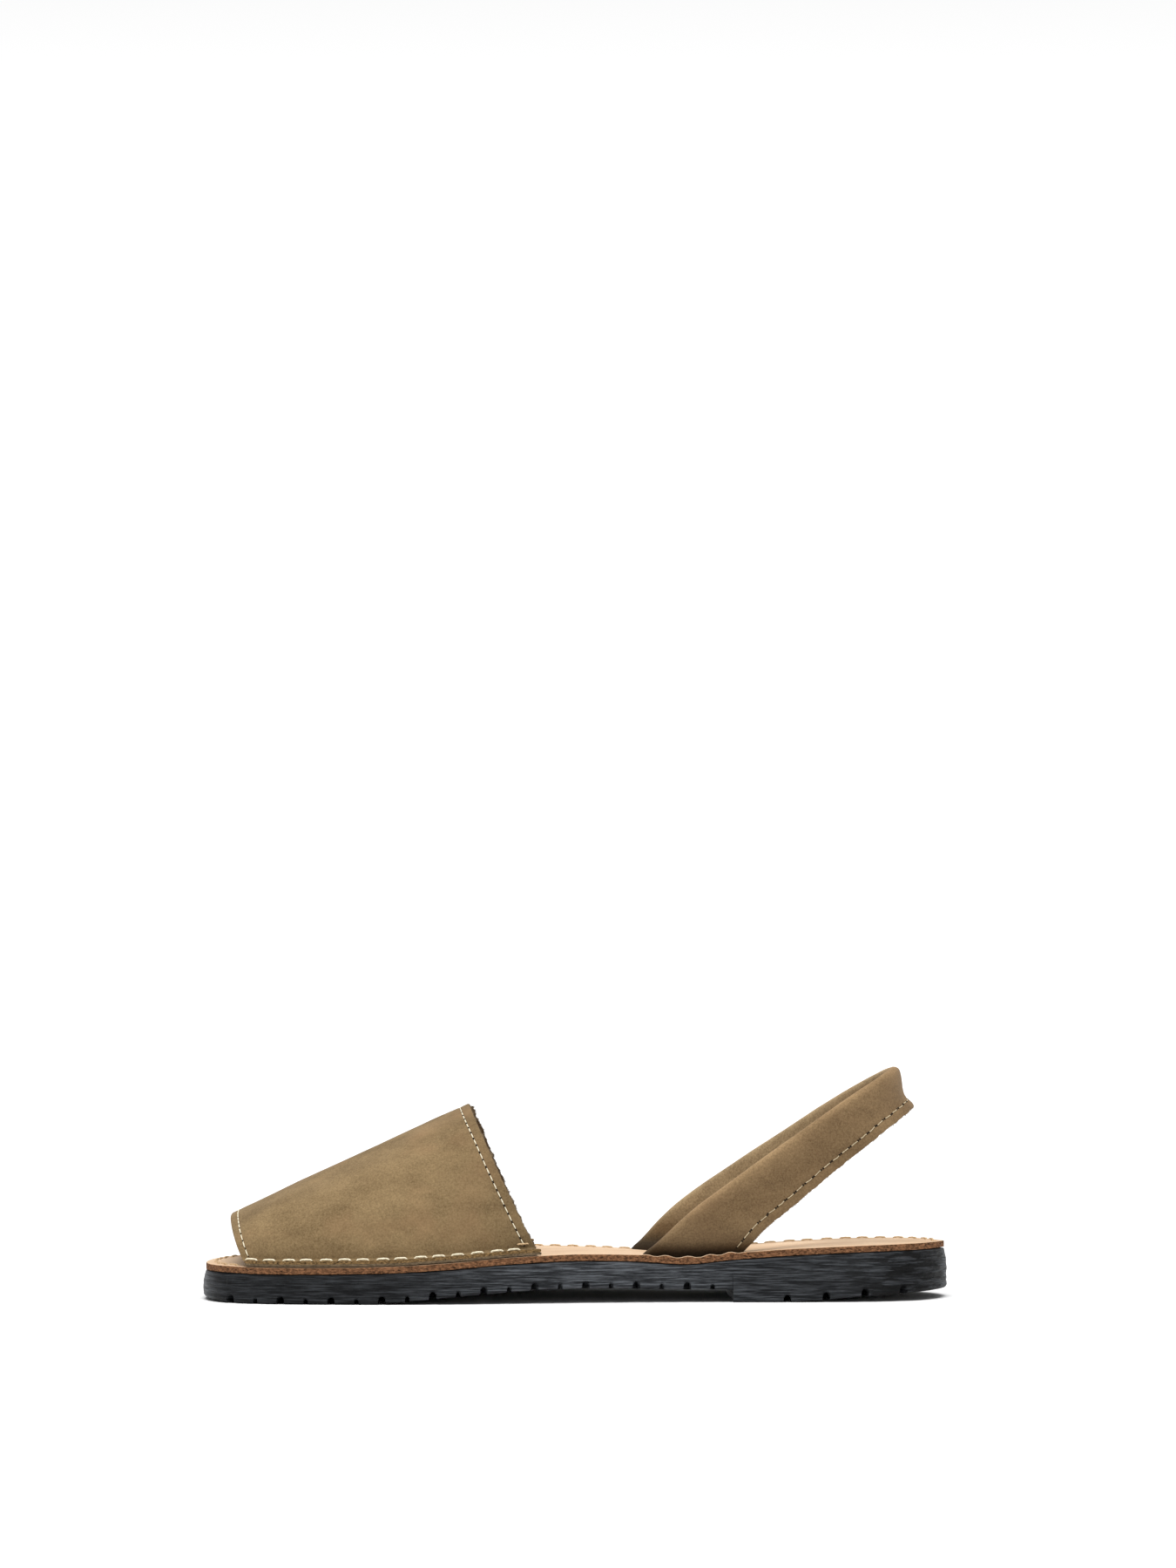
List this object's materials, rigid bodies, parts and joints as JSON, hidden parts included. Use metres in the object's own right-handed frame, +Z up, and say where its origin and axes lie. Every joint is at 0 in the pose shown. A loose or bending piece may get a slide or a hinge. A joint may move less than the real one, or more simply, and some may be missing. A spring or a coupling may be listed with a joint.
{
  "type": "avarca sandal",
  "caption": "Flat slingback sandal for the right foot, with an open-toed nubuck vamp, a leather footbed and a grooved rubber sole with a low heel.",
  "frame": {"origin": "on the floor, under the middle of the sandal's length and of the outsole's width at the ball", "axes": "+X from toe to heel, +Y towards the outer side of the foot, +Z up"},
  "size_m": [0.25, 0.0939, 0.0772],
  "materials": {
    "rubber": "matt black rubber, side wall abraded in fine lengthwise striations",
    "tan_leather": "natural vegetable-tanned leather with a raw cut edge, half matt",
    "nubuck": "taupe nubuck, matt, with a short nap",
    "thread": "cream waxed sewing thread",
    "lining": "brown split leather with a raw fibrous edge"
  },
  "bodies": {
    "root": {"outsole": "rubber", "insole": "tan_leather", "vamp": "nubuck", "slingback_strap": "nubuck"}
  },
  "joints": []
}
